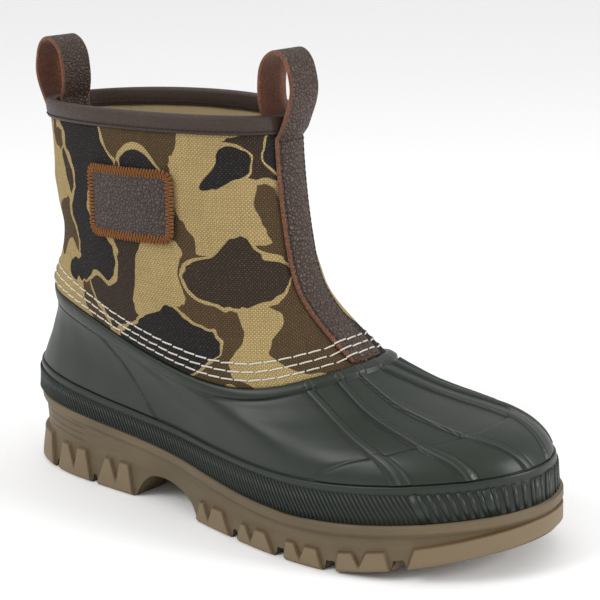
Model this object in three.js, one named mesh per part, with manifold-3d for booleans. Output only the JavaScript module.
// A right-foot duck boot: a gum-rubber lug outsole, a moulded rubber shell, a canvas shaft stitched over
// the shell's flange, a leather collar binding, leather straps with pull loops front and back, a leather
// patch and an insole. Millimetres. +X to the toe, +Y to the inner side, +Z up, the floor at Z = 0, X and
// Y centred on the outsole.
import * as THREE from 'three';
import { mergeVertices } from 'three/addons/utils/BufferGeometryUtils.js';
import Module from 'manifold-3d';

const wasm = await Module();
wasm.setup();

// The last.
const LENGTH = 308;             // outsole, heel to toe
const BALL_WIDTH = 118;         // across the ball
const COLLAR_BACK = 190;        // top of the canvas at the back centre
const COLLAR_SIDE = 191.5;      // at the sides
const COLLAR_FRONT = 189.5;     // at the front centre

// Canvas edge, where the shaft meets the rubber.
const EDGE_BACK = 97;           // at the back centre
const EDGE_HEEL = 91.5;         // beside the heel
const EDGE_WAIST = 78;          // beside the arch
const EDGE_BALL = 70.5;         // beside the ball, its lowest
const EDGE_THROAT = 79.5;       // at the front centre

// Outsole.
const SOLE_HEEL = 40;           // floor to the sole's upper edge at the heel
const SOLE_WAIST = 31;
const SOLE_BALL = 22;
const SOLE_TOE = 31;            // at the toe, spring included
const TOE_SPRING = 16;          // floor to the underside at the toe
const SPRING_START = 72;        // where the underside leaves the floor
const SPRING_POWER = 1.4;       // how gently it does so
const ARCH_RISE = 14.5;         // floor to the underside of the waist
const BREAST = -58;             // front edge of the heel on the floor
const TREAD_START = -11;        // back edge of the forefoot tread on the floor
const TREAD_GROOVE = 4.5;       // depth of the grooves between the lugs
const CENTRE_GROOVE = 5;        // width of the two grooves along the tread
const LUG_PROUD = 1.6;          // lug blocks stand out from the side wall
const HEEL_FLARE = 2.8;         // the heel spreads towards the floor

// Rubber shell.
const SHELL_WALL = 2.6;
const FOXING_HEEL = 15.4;       // height of the ribbed band round the shell
const FOXING_WAIST = 12.7;
const FOXING_BALL = 17;
const FOXING_TOE = 16;
const FOXING_PROUD = 1.5;       // the band stands out from the shell
const FOXING_SPREAD = 1.2;      // and leans out by this much at its foot
const CAP_PROUD = 0.7;          // toe cap and heel counter steps
const RIB_PROUD = 1.5;
const RIB_WIDTH = 3.2;
const VAMP_AXIS_THROAT = -4.5;  // Y of the middle of the vamp's ribs at the throat
const VAMP_AXIS_TIP = 3;        // and at the tip of the toe
const RIM_PROUD = 1.6;          // raised rim below the canvas edge
const FLANGE_HEIGHT = 16;       // rubber that goes up inside the canvas
const FLANGE_WALL = 1.4;

// Shaft, leather and insole.
const CANVAS_WALL = 2;          // canvas and lining together
const BINDING_WALL = 1.2;
const BINDING_HEIGHT = 7.5;
const STRAP_WALL = 2;
const STRAP_WIDTH = 19;
const LOOP_HEIGHT = 30;         // top of the loop's middle line above the canvas
const LOOP_DEPTH = 22;          // the loop, front to back
const LOOP_TAIL = 20;           // end of its inner leg below the collar
const PATCH_WALL = 1.6;
const PATCH_LENGTH = 53;
const PATCH_HEIGHT = 34.5;
const PATCH_CORNER = 5;
const PATCH_X = -52;            // middle of the patch
const PATCH_Z = 148.5;
const INSOLE_WALL = 4;
const GAP = 0.3;                // between pieces that meet
const LEATHER_GAP = 0.4;        // between leather and the curved canvas under it

// The foot outline, heel to toe: share of the length, half widths as shares of the ball width.
const FOOT = [
  { at: 0.000, outer: 0.000, inner: 0.000 },
  { at: 0.010, outer: 0.132, inner: 0.132 },
  { at: 0.035, outer: 0.220, inner: 0.218 },
  { at: 0.080, outer: 0.290, inner: 0.285 },
  { at: 0.140, outer: 0.332, inner: 0.325 },
  { at: 0.220, outer: 0.352, inner: 0.335 },
  { at: 0.320, outer: 0.362, inner: 0.315 },
  { at: 0.420, outer: 0.385, inner: 0.315 },
  { at: 0.520, outer: 0.437, inner: 0.362 },
  { at: 0.620, outer: 0.482, inner: 0.435 },
  { at: 0.700, outer: 0.495, inner: 0.478 },
  { at: 0.780, outer: 0.475, inner: 0.485 },
  { at: 0.850, outer: 0.425, inner: 0.450 },
  { at: 0.910, outer: 0.345, inner: 0.385 },
  { at: 0.955, outer: 0.245, inner: 0.295 },
  { at: 0.985, outer: 0.135, inner: 0.190 },
  { at: 1.000, outer: 0.000, inner: 0.030 },
];

// Sections of the upper. level runs from 0 at the foxing's top by 1 at the canvas edge to 2 at the collar.
// back and front are shares of the length, outer and inner half widths as shares of the ball width, oval
// goes from 0 for the foot outline to 1 for an ellipse. side and toe are the height at the sides and at
// the toe, as shares of the rubber's height up to level 1 and of the canvas's height above it.
const UPPER = [
  { level: 0.00, back: 0.0146, front: 0.9854, outer: 0.457, inner: 0.447, oval: 0.00, side: 0.00, toe: 0.00 },
  { level: 0.10, back: 0.021, front: 0.980, outer: 0.456, inner: 0.446, oval: 0.01, side: 0.08, toe: 0.10 },
  { level: 0.20, back: 0.027, front: 0.970, outer: 0.453, inner: 0.443, oval: 0.03, side: 0.17, toe: 0.21 },
  { level: 0.30, back: 0.034, front: 0.951, outer: 0.448, inner: 0.437, oval: 0.06, side: 0.27, toe: 0.33 },
  { level: 0.40, back: 0.040, front: 0.920, outer: 0.442, inner: 0.430, oval: 0.10, side: 0.36, toe: 0.43 },
  { level: 0.50, back: 0.045, front: 0.880, outer: 0.436, inner: 0.422, oval: 0.15, side: 0.45, toe: 0.50 },
  { level: 0.60, back: 0.050, front: 0.835, outer: 0.430, inner: 0.414, oval: 0.20, side: 0.54, toe: 0.57 },
  { level: 0.70, back: 0.055, front: 0.790, outer: 0.424, inner: 0.407, oval: 0.26, side: 0.63, toe: 0.66 },
  { level: 0.80, back: 0.059, front: 0.745, outer: 0.420, inner: 0.400, oval: 0.32, side: 0.72, toe: 0.80 },
  { level: 0.90, back: 0.059, front: 0.715, outer: 0.417, inner: 0.395, oval: 0.37, side: 0.80, toe: 0.91 },
  { level: 1.00, back: 0.053, front: 0.692, outer: 0.416, inner: 0.391, oval: 0.40, side: 1.00, toe: 1.00 },
  { level: 1.05, back: 0.052, front: 0.668, outer: 0.405, inner: 0.383, oval: 0.46, side: 0.05, toe: 0.05 },
  { level: 1.11, back: 0.060, front: 0.641, outer: 0.392, inner: 0.374, oval: 0.55, side: 0.11, toe: 0.11 },
  { level: 1.18, back: 0.068, front: 0.613, outer: 0.376, inner: 0.363, oval: 0.66, side: 0.18, toe: 0.18 },
  { level: 1.26, back: 0.0735, front: 0.590, outer: 0.362, inner: 0.353, oval: 0.78, side: 0.26, toe: 0.26 },
  { level: 1.36, back: 0.0755, front: 0.575, outer: 0.350, inner: 0.345, oval: 0.90, side: 0.36, toe: 0.36 },
  { level: 1.48, back: 0.065, front: 0.5665, outer: 0.342, inner: 0.340, oval: 0.97, side: 0.48, toe: 0.48 },
  { level: 1.62, back: 0.0615, front: 0.5595, outer: 0.337, inner: 0.337, oval: 1.00, side: 0.62, toe: 0.62 },
  { level: 1.80, back: 0.061, front: 0.5540, outer: 0.335, inner: 0.335, oval: 1.00, side: 0.80, toe: 0.80 },
  { level: 2.00, back: 0.055, front: 0.5520, outer: 0.335, inner: 0.335, oval: 1.00, side: 1.00, toe: 1.00 },
];

// The pull loop's middle line from its outer leg over the top to its inner leg: out is a share of the
// loop's depth from the canvas, up a share of its height from the canvas top, bow a share of the strap's
// width that its edges fall back by.
const LOOP = [
  { out: 0.19, up: -0.20, bow: 0.09 },
  { out: 0.29, up: 0.00, bow: 0.06 },
  { out: 0.40, up: 0.22, bow: 0.04 },
  { out: 0.45, up: 0.43, bow: 0.03 },
  { out: 0.42, up: 0.63, bow: 0.03 },
  { out: 0.33, up: 0.83, bow: 0.02 },
  { out: 0.17, up: 0.96, bow: 0.00 },
  { out: -0.02, up: 1.00, bow: 0.00 },
  { out: -0.24, up: 0.92, bow: 0.00 },
  { out: -0.38, up: 0.75, bow: -0.02 },
  { out: -0.43, up: 0.52, bow: -0.03 },
  { out: -0.41, up: 0.28, bow: -0.06 },
  { out: -0.33, up: 0.10, bow: -0.10 },
];

// Ribs of one half of the vamp, from the rim to the foxing: along is a share of the length, off the
// distance from the vamp's axis as a share of the ball width. The other half mirrors them.
const RIBS = [
  [
    { along: 0.655, off: 0.213 }, { along: 0.711, off: 0.261 }, { along: 0.773, off: 0.325 },
    { along: 0.830, off: 0.362 }, { along: 0.885, off: 0.378 },
  ],
  [
    { along: 0.685, off: 0.130 }, { along: 0.776, off: 0.212 }, { along: 0.867, off: 0.267 },
    { along: 0.919, off: 0.260 }, { along: 0.970, off: 0.242 },
  ],
  [
    { along: 0.695, off: 0.045 }, { along: 0.773, off: 0.097 }, { along: 0.828, off: 0.121 },
    { along: 0.903, off: 0.135 }, { along: 0.948, off: 0.106 }, { along: 1.000, off: 0.045 },
  ],
];

// The toe cap's scalloped back edge, from the foxing to the axis, in the same shares.
const CAP_EDGE = [
  { along: 0.690, off: 0.480 }, { along: 0.707, off: 0.432 }, { along: 0.753, off: 0.409 },
  { along: 0.808, off: 0.360 }, { along: 0.836, off: 0.322 }, { along: 0.866, off: 0.262 },
  { along: 0.886, off: 0.220 }, { along: 0.9045, off: 0.133 }, { along: 0.912, off: 0.060 },
];

// The heel counter's front edge seen from the side: along is a share of the length, up a share of the
// rubber's height at the back.
const COUNTER_EDGE = [
  { along: 0.150, up: 1.00 }, { along: 0.195, up: 0.75 }, { along: 0.250, up: 0.51 },
  { along: 0.302, up: 0.22 }, { along: 0.345, up: -0.10 },
];

// Lug blocks of the side wall: from and to are shares of the length along the floor, height is a share of
// the sole's height at the heel. left and right are where the lug's top starts and ends, and notch is the
// middle of the notch in it, as shares of the lug's own length. The first wraps the heel, the last the toe.
const LUGS = [
  { from: -0.05, to: 0.099, height: 0.475, left: 0.00, right: 0.98 },
  { from: 0.110, to: 0.208, height: 0.438, left: 0.24, right: 0.92, notch: 0.55 },
  { from: 0.218, to: BREAST / LENGTH + 0.5, height: 0.425, left: 0.30, right: 0.93, notch: 0.56 },
  { from: TREAD_START / LENGTH + 0.5, to: 0.557, height: 0.300, left: 0.16, right: 0.80, notch: 0.40 },
  { from: 0.568, to: 0.656, height: 0.263, left: 0.16, right: 0.80, notch: 0.42 },
  { from: 0.672, to: 0.748, height: 0.258, left: 0.08, right: 0.87, notch: 0.44 },
  { from: 0.765, to: 0.851, height: 0.250, left: 0.06, right: 0.92, notch: 0.46 },
  { from: 0.869, to: 1.050, height: 0.250, left: 0.06, right: 1.00 },
];
const NOTCH_HALF = 0.11;        // half the notch's width, as a share of the lug's length
const NOTCH_FLOOR = 0.4;        // its lowest point, as a share of the lug's height

// The hollow of the arch: along from the heel's breast to the tread, up as a share of its rise.
const ARCH = [
  { along: 0.00, up: 0.00 }, { along: 0.06, up: 0.30 }, { along: 0.17, up: 0.72 }, { along: 0.28, up: 0.93 },
  { along: 0.43, up: 1.00 }, { along: 0.57, up: 0.98 }, { along: 0.70, up: 0.88 }, { along: 0.85, up: 0.66 },
  { along: 0.94, up: 0.38 }, { along: 1.00, up: 0.00 },
];

const AROUND = 56;              // facets round the boot
const CROWDING = 0.35;          // how much closer they lie at heel and toe

const mix = (a, b, t) => a + (b - a) * t;
const ease = (t) => THREE.MathUtils.smoothstep(t, 0, 1);

// A smooth curve through values at rising stations.
function smooth(stations, values) {
  const last = stations.length - 1;
  const slope = stations.map((_, i) => {
    if (i === 0) return (values[1] - values[0]) / (stations[1] - stations[0]);
    if (i === last) return (values[last] - values[last - 1]) / (stations[last] - stations[last - 1]);
    const before = stations[i] - stations[i - 1];
    const after = stations[i + 1] - stations[i];
    const one = (values[i] - values[i - 1]) / before;
    const two = (values[i + 1] - values[i]) / after;
    return (one * after + two * before) / (before + after);
  });
  return (at) => {
    let i = 0;
    while (i < last - 1 && at > stations[i + 1]) i++;
    const width = stations[i + 1] - stations[i];
    const t = THREE.MathUtils.clamp((at - stations[i]) / width, 0, 1);
    const t2 = t * t;
    const t3 = t2 * t;
    return values[i] * (2 * t3 - 3 * t2 + 1) + slope[i] * width * (t3 - 2 * t2 + t)
      + values[i + 1] * (3 * t2 - 2 * t3) + slope[i + 1] * width * (t3 - t2);
  };
}

// The closed foot outline as shares: u runs from the heel by the outer side to the toe at 0.5 and back to
// 1.
const footOutline = (() => {
  const outer = FOOT.map((row) => new THREE.Vector2(row.at, -row.outer));
  const inner = FOOT.slice(0, -1).reverse().map((row) => new THREE.Vector2(row.at, row.inner));
  const points = [...outer, ...inner];
  const reach = [0];
  for (let i = 1; i < points.length; i++) {
    const dx = (points[i].x - points[i - 1].x) * LENGTH;
    const dy = (points[i].y - points[i - 1].y) * BALL_WIDTH;
    reach.push(reach[i - 1] + Math.hypot(dx, dy));
  }
  const toe = reach[FOOT.length - 1];
  const end = reach[reach.length - 1];
  const along = smooth(reach, points.map((p) => p.x));
  const across = smooth(reach, points.map((p) => p.y));
  return (u) => {
    const w = THREE.MathUtils.euclideanModulo(u, 1);
    const d = w <= 0.5 ? w * 2 * toe : mix(toe, end, w * 2 - 1);
    return new THREE.Vector2(along(d), across(d));
  };
})();
const OUTER_MOST = Math.max(...FOOT.map((row) => row.outer));
const INNER_MOST = Math.max(...FOOT.map((row) => row.inner));

// Stations round the boot, closer together at heel and toe.
const STATIONS = Array.from({ length: AROUND }, (_, i) => {
  const u = i / AROUND;
  return u - CROWDING * Math.sin(4 * Math.PI * u) / (4 * Math.PI);
});

// Heights along the foot, by the share of the length.
const soleTop = smooth([0, 0.35, 0.68, 1], [SOLE_HEEL, SOLE_WAIST, SOLE_BALL, SOLE_TOE]);
const foxingHeight = smooth([0, 0.35, 0.68, 1], [FOXING_HEEL, FOXING_WAIST, FOXING_BALL, FOXING_TOE]);
const canvasEdge = smooth([0, 0.2, 0.5, 0.8, 1], [EDGE_BACK, EDGE_HEEL, EDGE_WAIST, EDGE_BALL, EDGE_THROAT]);
const collar = smooth([0, 0.5, 1], [COLLAR_BACK, COLLAR_SIDE, COLLAR_FRONT]);
const share = (x) => x / LENGTH + 0.5;
const fromHeel = (t) => (t - 0.5) * LENGTH;

// The upper's outer surface at u round the boot and at a level up it.
const column = (name) => smooth(UPPER.map((row) => row.level), UPPER.map((row) => row[name]));
const back = column('back');
const front = column('front');
const outer = column('outer');
const inner = column('inner');
const oval = column('oval');
const low = UPPER.filter((row) => row.level <= 1);
const high = UPPER.filter((row) => row.level > 1);
const lift = (rows, name) => smooth(rows.map((row) => row.level), rows.map((row) => row[name]));
const sideRubber = lift(low, 'side');
const toeRubber = lift(low, 'toe');
const canvasRise = lift([{ level: 1, side: 0 }, ...high], 'side');
const TOE_FROM = 0.62;          // share of the length where the side heights start to turn into the toe's

function upper(u, level) {
  const foot = footOutline(u);
  const angle = 2 * Math.PI * u;
  const outside = THREE.MathUtils.euclideanModulo(u, 1) < 0.5;
  const width = outside ? outer(level) : inner(level);
  const most = outside ? OUTER_MOST : INNER_MOST;
  const along = mix(foot.x, 0.5 - 0.5 * Math.cos(angle), oval(level));
  const across = mix(foot.y / most, -Math.sin(angle), oval(level));
  const x = fromHeel(mix(back(level), front(level), along));
  const y = across * width * BALL_WIDTH;
  const base = soleTop(foot.x) + foxingHeight(foot.x);
  const edge = canvasEdge(foot.x);
  if (level > 1) return new THREE.Vector3(x, y, mix(edge, collar(foot.x), canvasRise(level)));
  const toeward = ease((foot.x - TOE_FROM) / (1 - TOE_FROM));
  return new THREE.Vector3(x, y, mix(base, edge, mix(sideRubber(level), toeRubber(level), toeward)));
}

const STEP_U = 0.002;
const STEP_LEVEL = 0.01;
function upward(u, level) {
  const top = Math.min(level + STEP_LEVEL, 2);
  const bottom = Math.max(level - STEP_LEVEL, 0);
  return upper(u, top).sub(upper(u, bottom)).divideScalar(top - bottom);
}

// The same surface moved out along its normal.
function skin(u, level, out) {
  const round = upper(u + STEP_U, level).sub(upper(u - STEP_U, level));
  const normal = round.cross(upward(u, level)).normalize();
  return upper(u, level).addScaledVector(normal, out);
}

// The level that lies so many millimetres further up the surface at u.
function climb(u, level, distance) {
  const steps = 6;
  let reached = level;
  for (let i = 0; i < steps; i++) reached += distance / steps / upward(u, reached).length();
  return reached;
}

const ring = (place) => STATIONS.map((u) => place(u));

// A solid from a geometry or from rings of points.
function solidOf(geometry) {
  const bare = new THREE.BufferGeometry();
  bare.setAttribute('position', geometry.getAttribute('position').clone());
  if (geometry.index) bare.setIndex(geometry.index.clone());
  const merged = mergeVertices(bare, 1e-4);
  const data = new wasm.Mesh({
    numProp: 3,
    vertProperties: new Float32Array(merged.getAttribute('position').array),
    triVerts: new Uint32Array(merged.index.array),
  });
  return new wasm.Manifold(data);
}

function geometryOf(points, faces) {
  const geometry = new THREE.BufferGeometry();
  geometry.setAttribute('position', new THREE.Float32BufferAttribute(points.flatMap((p) => p.toArray()), 3));
  geometry.setIndex(faces.flat());
  return geometry;
}

// Quads between rings that follow each other, each ring closed on itself and each quad cut along its short
// diagonal.
function wallFaces(rings, closed) {
  const count = rings[0].length;
  const faces = [];
  for (let k = 0; k < rings.length - (closed ? 0 : 1); k++) {
    const lower = k * count;
    const upperRow = ((k + 1) % rings.length) * count;
    for (let i = 0; i < count; i++) {
      const j = (i + 1) % count;
      const [a, b] = [rings[k][i], rings[k][j]];
      const [c, d] = [rings[(k + 1) % rings.length][j], rings[(k + 1) % rings.length][i]];
      if (a.distanceTo(c) < b.distanceTo(d)) {
        faces.push([lower + i, lower + j, upperRow + j], [lower + i, upperRow + j, upperRow + i]);
      } else {
        faces.push([lower + i, lower + j, upperRow + i], [lower + j, upperRow + j, upperRow + i]);
      }
    }
  }
  return faces;
}

// A wall that closes on itself: rings go up the outside, over the top and down the inside.
const tubeSolid = (rings) => solidOf(geometryOf(rings.flat(), wallFaces(rings, true)));

// A slab with a lid and a floor, each a row of strips from side to side.
function slabSolid(rings) {
  const count = rings[0].length;
  const half = count / 2;
  const top = (rings.length - 1) * count;
  const faces = wallFaces(rings, false);
  for (let i = 0; i < half; i++) {
    const [a, b] = [i, i + 1];
    const [c, d] = [(count - i - 1) % count, (count - i) % count];
    if (b !== c) faces.push([top + a, top + b, top + c], [b, a, c]);
    if (i > 0) faces.push([top + a, top + c, top + d], [a, d, c]);
  }
  return solidOf(geometryOf(rings.flat(), faces));
}

// A shape drawn from the side (X across, Z up) and carried right through the boot.
function sidewaysSolid(points) {
  const shape = new THREE.Shape(points.map(([x, z]) => new THREE.Vector2(x, z)));
  const geometry = new THREE.ExtrudeGeometry(shape, { depth: 2 * BALL_WIDTH, bevelEnabled: false });
  return solidOf(geometry.rotateX(Math.PI / 2).translate(0, BALL_WIDTH, 0));
}

// A shape drawn from above and carried up through the upper.
function upwardSolid(points) {
  const shape = new THREE.Shape(points);
  const geometry = new THREE.ExtrudeGeometry(shape, { depth: COLLAR_SIDE, bevelEnabled: false });
  return solidOf(geometry);
}

// A strip of leather: each section has an outer and an inner row of points across it.
function stripSolid(sections) {
  const rings = sections.map(({ outside, inside }) => [...outside, ...[...inside].reverse()]);
  const count = rings[0].length;
  const faces = wallFaces(rings, false);
  const top = (rings.length - 1) * count;
  for (let k = 0; k < count / 2 - 1; k++) {
    const [a, b, c, d] = [k, k + 1, count - 2 - k, count - 1 - k];
    faces.push([top + a, top + b, top + c], [top + a, top + c, top + d], [b, a, c], [a, d, c]);
  }
  return solidOf(geometryOf(rings.flat(), faces));
}

function part(name, solid, color, roughness) {
  const result = solid.getMesh();
  const geometry = new THREE.BufferGeometry();
  geometry.setAttribute('position', new THREE.BufferAttribute(new Float32Array(result.vertProperties), 3));
  geometry.setIndex(new THREE.BufferAttribute(new Uint32Array(result.triVerts), 1));
  geometry.computeVertexNormals();
  const mesh = new THREE.Mesh(geometry, new THREE.MeshStandardMaterial({ color, roughness, metalness: 0 }));
  mesh.name = name;
  return mesh;
}

// Outsole: the foot outline moved out by a distance, at a height or at a depth below the sole's upper edge.
function outlinePoint(u, out) {
  const at = (v) => {
    const p = footOutline(v);
    return new THREE.Vector2(fromHeel(p.x), p.y * BALL_WIDTH);
  };
  const along = at(u + STEP_U).sub(at(u - STEP_U)).normalize();
  return at(u).add(new THREE.Vector2(along.y, -along.x).multiplyScalar(out));
}
const atHeight = (point, z) => new THREE.Vector3(point.x, point.y, z);
const belowEdge = (point, depth) => atHeight(point, soleTop(share(point.x)) - depth);
const HEEL_END = 0.14;          // share of the length where the heel's flare has died out
const flare = (u) => HEEL_FLARE * (1 - ease(footOutline(u).x / HEEL_END));
const LIP = 4;                  // height of the sole's smooth upper lip
const LIP_BEVEL = 2;
const LUG_BEVEL = 1.5;
const GROOVE_TAPER = 0.8;
const BELOW = 1;                // forms start this far under the floor, and the profile cuts them off
const SPRING_STEPS = [0, 0.1, 0.2, 0.35, 0.5, 0.65, 0.8, 1, 1.2];

// Height of the underside ahead of the ball.
function springAt(x) {
  const t = (x - SPRING_START) / (LENGTH / 2 - SPRING_START);
  return TOE_SPRING * Math.max(t, 0) ** SPRING_POWER;
}

function makeOutsole() {
  const wall = slabSolid([
    ring((u) => atHeight(outlinePoint(u, -LUG_PROUD - flare(u)), -BELOW)),
    ring((u) => belowEdge(outlinePoint(u, -LUG_PROUD * 0.6 - flare(u)), LIP + LIP_BEVEL)),
    ring((u) => belowEdge(outlinePoint(u, -flare(u)), LIP)),
    ring((u) => belowEdge(outlinePoint(u, -flare(u)), 0)),
  ]);
  const lugForm = slabSolid([
    ring((u) => atHeight(outlinePoint(u, -LUG_BEVEL), -BELOW)),
    ring((u) => atHeight(outlinePoint(u, 0), LUG_BEVEL)),
    ring((u) => atHeight(outlinePoint(u, -flare(u) * 0.2), SOLE_HEEL * 0.27)),
    ring((u) => atHeight(outlinePoint(u, -flare(u)), SOLE_HEEL / 2)),
  ]);
  const lugs = LUGS.map(({ from, to, height, left, right, notch }) => {
    const corner = (t, rise) => {
      const x = fromHeel(mix(from, to, t));
      return [x, springAt(Math.min(x, LENGTH / 2)) + rise * height * SOLE_HEEL];
    };
    const cut = notch ? [[notch + NOTCH_HALF, 1], [notch, NOTCH_FLOOR], [notch - NOTCH_HALF, 1]] : [];
    const top = [[right, 1], ...cut, [left, 1]].map(([t, rise]) => corner(t, rise));
    return sidewaysSolid([[fromHeel(from), -BELOW], [fromHeel(to), -BELOW], ...top]);
  }).reduce((all, lug) => all.add(lug));
  const arch = ARCH.map(({ along, up }) => [mix(BREAST, TREAD_START, along), up * ARCH_RISE]);
  const spring = SPRING_STEPS.map((t) => mix(SPRING_START, LENGTH / 2, t)).map((x) => [x, springAt(x)]);
  const profile = sidewaysSolid([
    [-LENGTH, 0], ...arch, ...spring, [LENGTH, COLLAR_SIDE], [-LENGTH, COLLAR_SIDE],
  ]);
  const spaces = LUGS.slice(1).map((lug, i) => [fromHeel(LUGS[i].to), fromHeel(lug.from)]);
  const grooves = spaces.filter(([start]) => Math.abs(start - BREAST) > GROOVE_TAPER).map(([start, end]) => {
    const floor = springAt(start) + TREAD_GROOVE;
    return sidewaysSolid([
      [start, -BELOW], [end, -BELOW], [end - GROOVE_TAPER, floor], [start + GROOVE_TAPER, floor],
    ]);
  });
  const channels = [-1, 1].map((side) => {
    const box = new THREE.BoxGeometry(LENGTH * 0.8, CENTRE_GROOVE, 2 * TREAD_GROOVE);
    return solidOf(box.translate(-LENGTH * 0.02, side * BALL_WIDTH * 0.14, 0));
  });
  let sole = wall.add(lugForm.intersect(lugs)).intersect(profile);
  for (const cut of [...grooves, ...channels]) sole = sole.subtract(cut);
  return sole;
}

// Rubber shell: bottom edge, foxing band, vamp, rim, flange and the inside, in one closed wall.
const lifted = (u, level, out, up) => skin(u, level, out).addScaledVector(upward(u, level).normalize(), up);
const flatOut = (u, out) => {
  const along = upper(u + STEP_U, 0).sub(upper(u - STEP_U, 0));
  const length = Math.hypot(along.x, along.y);
  const here = upper(u, 0);
  return new THREE.Vector3(here.x + along.y / length * out, here.y - along.x / length * out, 0);
};
const onSole = (u, out, rise) => {
  const point = flatOut(u, out);
  return point.setZ(soleTop(share(point.x)) + GAP + rise);
};
const bandOf = (u) => foxingHeight(footOutline(u).x);
const FOXING_STRIP = 3;         // smooth strip at the top of the foxing band
const RIM_FADE = 0.3;           // share of the length where the rim has its full height
const rimOut = (u) => RIM_PROUD * mix(0.3, 1, ease(footOutline(u).x / RIM_FADE));
const UNDER_CANVAS = -(CANVAS_WALL + GAP);
const FLANGE_IN = UNDER_CANVAS - FLANGE_WALL;
const RIM_FOOT = 0.9;           // level where the rim starts
const FLANGE_STEPS = [1 / 3, 2 / 3, 1];
const RIM = [
  { at: 0.18, out: 0.9 },
  { at: 0.75, out: 1.0 },
  { at: 0.98, out: 0.6 },
];

// A skin that lies over the vamp and stands proud of it, for what is raised there.
function raisedSkin(proud) {
  const levels = UPPER.map((row) => row.level).filter((level) => level <= RIM_FOOT);
  const sunk = -SHELL_WALL / 3;
  const below = (u, out) => skin(u, 0, out).setZ(skin(u, 0, out).z - FOXING_STRIP / 2);
  return tubeSolid([
    ring((u) => below(u, proud)),
    ...levels.map((level) => ring((u) => skin(u, level, proud))),
    ...[...levels].reverse().map((level) => ring((u) => skin(u, level, sunk))),
    ring((u) => below(u, sunk)),
  ]);
}

// A point over the vamp, from its share of the length and its distance from the axis on one side.
function vampPoint({ along, off }, side) {
  const throat = UPPER.find((row) => row.level === 1).front;
  const axis = mix(VAMP_AXIS_THROAT, VAMP_AXIS_TIP, (along - throat) / (1 - throat));
  return new THREE.Vector2(fromHeel(along), axis + side * off * BALL_WIDTH);
}

function makeRibs() {
  const prisms = [-1, 1].flatMap((side) => RIBS.map((rib) => {
    const curve = new THREE.SplineCurve(rib.map((row) => vampPoint(row, side)));
    const edge = (offset) => Array.from({ length: 9 }, (_, i) => {
      const tangent = curve.getTangent(i / 8);
      return curve.getPoint(i / 8).add(new THREE.Vector2(-tangent.y, tangent.x).multiplyScalar(offset));
    });
    return upwardSolid([...edge(-RIB_WIDTH / 2), ...edge(RIB_WIDTH / 2).reverse()]);
  }));
  return raisedSkin(RIB_PROUD).intersect(prisms.reduce((all, prism) => all.add(prism)));
}

function makeCapAndCounter() {
  const ahead = [new THREE.Vector2(LENGTH, BALL_WIDTH), new THREE.Vector2(LENGTH, -BALL_WIDTH)];
  const cap = upwardSolid([
    ...CAP_EDGE.map((row) => vampPoint(row, -1)),
    ...[...CAP_EDGE].reverse().map((row) => vampPoint(row, 1)),
    ...ahead,
  ].reverse());
  const bandTop = SOLE_HEEL + FOXING_HEEL;
  const edge = COUNTER_EDGE.map(({ along, up }) => [fromHeel(along), mix(bandTop, EDGE_BACK, up)]);
  const counter = sidewaysSolid([
    ...edge,
    [-LENGTH, 0],
    [-LENGTH, COLLAR_SIDE],
    [edge[0][0], COLLAR_SIDE],
  ]);
  return raisedSkin(CAP_PROUD).intersect(cap.add(counter));
}

function makeShell() {
  const vampLevels = UPPER.map((row) => row.level).filter((level) => level <= RIM_FOOT);
  const insideLevels = [0.85, 0.55, 0.35, 0.15, 0];
  const flange = (height, out) => ring((u) => skin(u, climb(u, 1, height * FLANGE_HEIGHT), out));
  const shell = tubeSolid([
    ring((u) => onSole(u, FOXING_PROUD + FOXING_SPREAD, 0)),
    ring((u) => onSole(u, FOXING_PROUD + FOXING_SPREAD * 0.3, bandOf(u) - FOXING_STRIP)),
    ring((u) => skin(u, 0, FOXING_PROUD)),
    ...vampLevels.map((level) => ring((u) => skin(u, level, 0))),
    ...RIM.map(({ at, out }) => ring((u) => skin(u, mix(RIM_FOOT, 1, at), out * rimOut(u)))),
    ring((u) => skin(u, 1, UNDER_CANVAS)),
    ...FLANGE_STEPS.map((height) => flange(height, UNDER_CANVAS)),
    flange(1, FLANGE_IN),
    ring((u) => skin(u, 1, FLANGE_IN)),
    ...insideLevels.map((level) => ring((u) => skin(u, level, -SHELL_WALL))),
    ring((u) => onSole(u, -SHELL_WALL, 0)),
  ]);
  return shell.add(makeCapAndCounter()).add(makeRibs());
}

const INSIDE_CANVAS = [1.26, 1.48, 2];

function makeCanvas() {
  const levels = UPPER.map((row) => row.level).filter((level) => level > 1);
  const inside = levels.filter((level) => INSIDE_CANVAS.includes(level)).reverse();
  return tubeSolid([
    ring((u) => lifted(u, 1, 0, GAP)),
    ...levels.map((level) => ring((u) => skin(u, level, 0))),
    ...inside.map((level) => ring((u) => skin(u, level, -CANVAS_WALL))),
    ...[...FLANGE_STEPS].reverse().map((height) =>
      ring((u) => skin(u, climb(u, 1, height * FLANGE_HEIGHT), -CANVAS_WALL))),
    ring((u) => lifted(u, 1, -CANVAS_WALL, GAP)),
  ]);
}

// Binding: a strip folded over the collar.
function makeBinding() {
  const foot = (u) => climb(u, 2, -BINDING_HEIGHT);
  const over = (u, out, up) => skin(u, 2, out).add(new THREE.Vector3(0, 0, up));
  const near = GAP;
  const far = GAP + BINDING_WALL;
  return tubeSolid([
    ring((u) => skin(u, foot(u), far)),
    ring((u) => over(u, far, near)),
    ring((u) => over(u, -CANVAS_WALL / 2, far)),
    ring((u) => over(u, -CANVAS_WALL - far, near)),
    ring((u) => skin(u, foot(u), -CANVAS_WALL - far)),
    ring((u) => skin(u, foot(u), -CANVAS_WALL - near)),
    ring((u) => over(u, -CANVAS_WALL - near, near)),
    ring((u) => over(u, near, near)),
    ring((u) => skin(u, foot(u), near)),
  ]);
}

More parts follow.
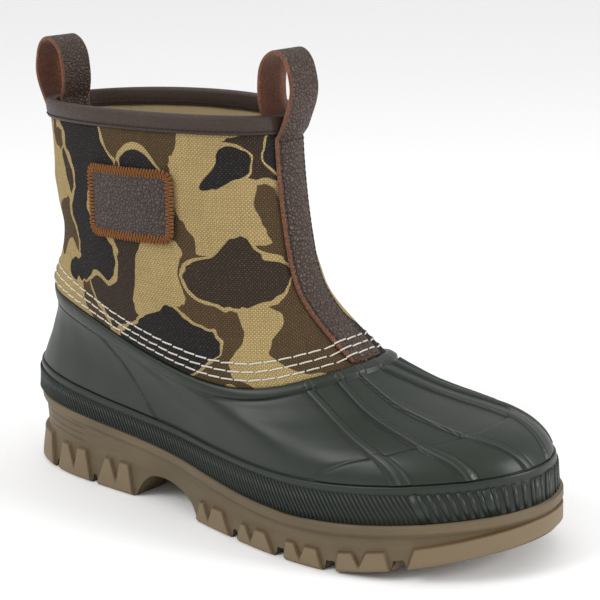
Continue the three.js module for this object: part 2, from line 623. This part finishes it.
// A value between low and high where a rising or falling measure passes a target.
function solve(measure, target, low, high) {
  const falling = measure(low) > measure(high);
  let [a, b] = [low, high];
  for (let i = 0; i < 30; i++) {
    const middle = (a + b) / 2;
    if ((measure(middle) < target) === falling) b = middle;
    else a = middle;
  }
  return (a + b) / 2;
}

// Straps run up the middle of the front (facing 1) or of the back (facing -1) and end in a pull loop.
const ACROSS = [-0.5, -0.25, 0, 0.25, 0.5].map((t) => t * STRAP_WIDTH);
const NEAR_U = 0.16;
const OVER_BINDING = GAP + BINDING_WALL + GAP;

function strapRow(facing, level, out) {
  const middle = facing > 0 ? 0.5 : 0;
  return ACROSS.map((y) => {
    const u = solve((v) => skin(v, level, out).y, facing * y, middle - NEAR_U, middle + NEAR_U);
    return skin(u, level, out);
  });
}

function makeStrap(facing) {
  const middle = facing > 0 ? 0.5 : 0;
  const lowest = climb(middle, 1, 3 * GAP);
  const belowBinding = climb(middle, 2, -BINDING_HEIGHT - STRAP_WALL);
  const besideBinding = climb(middle, 2, -BINDING_HEIGHT);
  const between = UPPER.map((row) => row.level).filter((v) => v > lowest && v < belowBinding - 0.02);
  const levels = [lowest, ...between, belowBinding];
  const onCanvas = [
    ...levels.map((level) => ({ level, out: LEATHER_GAP })),
    { level: besideBinding, out: OVER_BINDING + GAP },
  ].map(({ level, out }) => ({
    outside: strapRow(facing, level, out + STRAP_WALL),
    inside: strapRow(facing, level, out),
  }));
  const foot = upper(middle, 2);
  const path = LOOP.map(({ out, up }) =>
    new THREE.Vector3(foot.x + facing * out * LOOP_DEPTH, 0, foot.z + up * LOOP_HEIGHT));
  const loop = LOOP.map(({ bow }, i) => {
    const before = path[Math.max(i - 1, 0)];
    const after = path[Math.min(i + 1, path.length - 1)];
    const tangent = after.clone().sub(before).normalize();
    const outward = new THREE.Vector3(facing * tangent.z, 0, -facing * tangent.x);
    const row = (offset) => ACROSS.map((y) => {
      const fall = bow * STRAP_WIDTH * (2 * y / STRAP_WIDTH) ** 2;
      return path[i].clone().addScaledVector(outward, offset - fall).setY(facing * y);
    });
    return { outside: row(STRAP_WALL / 2), inside: row(-STRAP_WALL / 2) };
  });
  const innerFace = -CANVAS_WALL - OVER_BINDING;
  const tail = [GAP, BINDING_HEIGHT, LOOP_TAIL].map((depth) => {
    const level = climb(middle, 2, -depth);
    return {
      outside: strapRow(facing, level, innerFace - STRAP_WALL),
      inside: strapRow(facing, level, innerFace),
    };
  });
  return stripSolid([...onCanvas, ...loop, ...tail]);
}

// Patch: sections along it, each as high as the rounded rectangle is there.
function onOuterSide(x, z, out) {
  let u = 0.25;
  let level = 1.5;
  for (let i = 0; i < 5; i++) {
    level = solve((v) => upper(u, v).z, z, 1, 2);
    u = solve((v) => upper(v, level).x, x, 0.05, 0.45);
  }
  return skin(u, level, out);
}

function makePatch() {
  const halfLength = PATCH_LENGTH / 2;
  const halfHeight = PATCH_HEIGHT / 2;
  const ends = [0, 0.15, 0.5, 1].map((t) => {
    const angle = t * Math.PI / 2;
    return {
      at: halfLength - PATCH_CORNER * (1 - Math.cos(angle)),
      height: halfHeight - PATCH_CORNER * (1 - Math.sin(angle)),
    };
  });
  const flat = [0.55, 0.2, -0.2, -0.55].map((t) => ({ at: t * halfLength, height: halfHeight }));
  const mirrored = [...ends].reverse().map(({ at, height }) => ({ at: -at, height }));
  const sections = [...ends, ...flat, ...mirrored];
  const row = ({ at, height }, out) => [-1, 0, 1].map((t) =>
    onOuterSide(PATCH_X + at, PATCH_Z + t * height, out));
  return stripSolid(sections.map((section) => ({
    outside: row(section, LEATHER_GAP + PATCH_WALL),
    inside: row(section, LEATHER_GAP),
  })));
}

const INSOLE_EDGE = -SHELL_WALL - 2 * GAP;
const makeInsole = () => slabSolid([
  ring((u) => onSole(u, INSOLE_EDGE, 0)),
  ring((u) => onSole(u, INSOLE_EDGE, INSOLE_WALL)),
]);

const boot = new THREE.Group();
boot.add(
  part('outsole', makeOutsole(), 0x756650, 0.7),
  part('rubber_shell', makeShell(), 0x404640, 0.5),
  part('canvas_shaft', makeCanvas(), 0x6e6242, 0.95),
  part('collar_binding', makeBinding(), 0x4a3c38, 0.65),
  part('front_strap_loop', makeStrap(1), 0x50443f, 0.7),
  part('back_strap_loop', makeStrap(-1), 0x50443f, 0.7),
  part('side_patch', makePatch(), 0x5a4a44, 0.7),
  part('insole', makeInsole(), 0x8a7d5a, 0.95),
);

export default boot;
